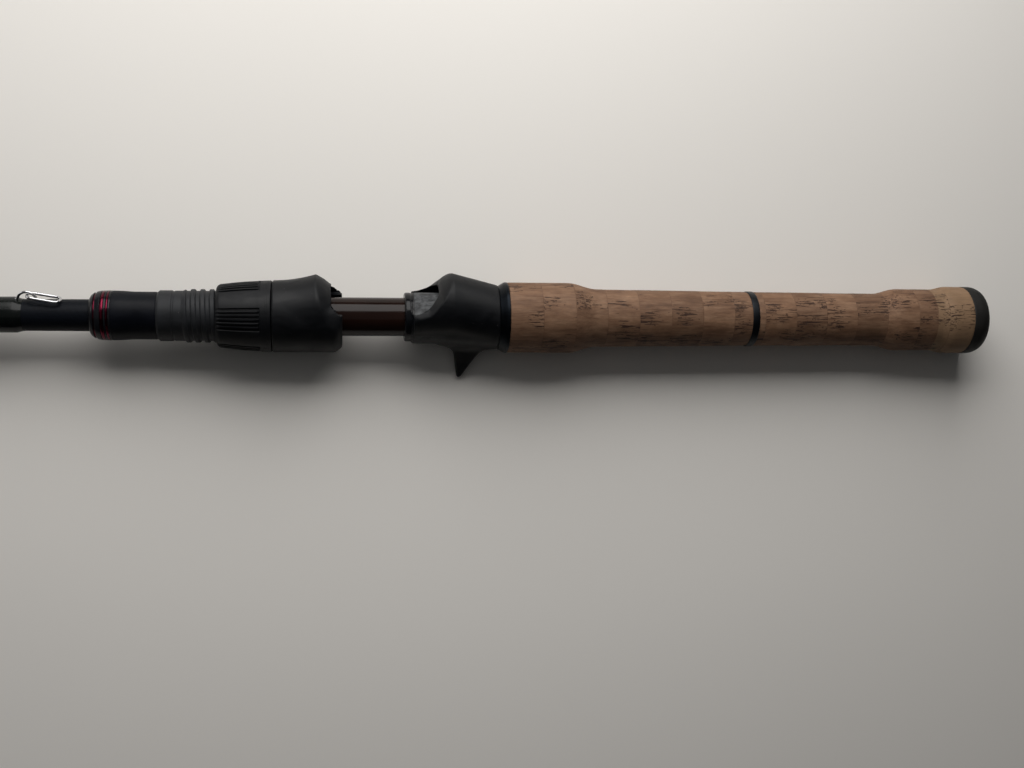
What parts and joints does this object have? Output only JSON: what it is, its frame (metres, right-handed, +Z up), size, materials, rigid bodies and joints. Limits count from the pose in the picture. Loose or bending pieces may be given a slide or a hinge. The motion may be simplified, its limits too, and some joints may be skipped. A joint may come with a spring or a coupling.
{
  "type": "fishing rod",
  "caption": "Casting rod with a cork grip, a trigger reel seat with a screw-down hood, a fold-down hook keeper, and line guides along a tapered blank.",
  "frame": {"origin": "on the surface the rod lies on, straight below the rod's axis, at the middle of the reel seat's window", "axes": "+X along the rod towards the butt, +Z up from the surface; the reel side of the rod points to +Y and up"},
  "size_m": [1.8286, 0.0445, 0.0285],
  "materials": {
    "carbon": "satin black carbon blank",
    "tube_lacquer": "clear gloss over black carbon",
    "sleeve": "satin dark blue-black",
    "seat": "soft-touch matte black",
    "seat_thread": "moulded dark grey",
    "check": "black anodised",
    "rear_check": "satin black anodised",
    "accent": "red anodised",
    "cork": "sanded cork rings",
    "trim": "satin black",
    "rubber": "matte black",
    "bright_wire": "polished",
    "wrap": "black thread under clear epoxy",
    "guide_steel": "dark smoke plated",
    "ceramic": "polished black ceramic"
  },
  "bodies": {
    "rod": {"blank": "carbon", "handle_tube": "tube_lacquer", "fore_check": "check", "accent_rings": "accent", "fore_sleeve": "sleeve", "threaded_barrel": "seat_thread", "trigger_seat": "seat", "rear_check": "rear_check", "front_cork": "cork", "trim_ring": "trim", "rear_cork": "cork", "butt_cap": "rubber", "keeper_loop": "bright_wire", "keeper_wrap": "wrap", "guide_1_frame": "guide_steel", "guide_1_ring": "ceramic", "guide_1_wraps": "wrap", "guide_2_frame": "guide_steel", "guide_2_ring": "ceramic", "guide_2_wraps": "wrap", "guide_3_frame": "guide_steel", "guide_3_ring": "ceramic", "guide_3_wrap": "wrap", "guide_4_frame": "guide_steel", "guide_4_ring": "ceramic", "guide_4_wrap": "wrap", "guide_5_frame": "guide_steel", "guide_5_ring": "ceramic", "guide_5_wrap": "wrap", "guide_6_frame": "guide_steel", "guide_6_ring": "ceramic", "guide_6_wrap": "wrap", "guide_7_frame": "guide_steel", "guide_7_ring": "ceramic", "guide_7_wrap": "wrap", "tip_tube": "guide_steel", "tip_frame": "guide_steel", "tip_ring": "ceramic", "tip_wrap": "wrap"},
    "hood": {"front_hood": "seat"},
    "nut": {"lock_nut": "seat"},
    "keeper_ring": {"keeper_ring": "bright_wire"}
  },
  "joints": [
    {"name": "hood_slide", "type": "slide", "parent": "rod", "child": "hood", "axis": [1, 0, 0], "range_m": [-0.014, 0.006]},
    {"name": "nut_spin", "type": "hinge", "parent": "hood", "child": "nut", "pos_m": [0, 0, 0.01365], "axis": [1, 0, 0], "range_deg": [-1480, 630]},
    {"name": "keeper_fold", "type": "hinge", "parent": "rod", "child": "keeper_ring", "pos_m": [-0.1249, 0.00704, 0.01755], "axis": [0, -0.4846, 0.8747], "range_deg": [0, 150]}
  ],
  "couplings": [
    {"joint": "hood_slide", "follows": "nut_spin", "m_per_rad": 0.00054113}
  ]
}
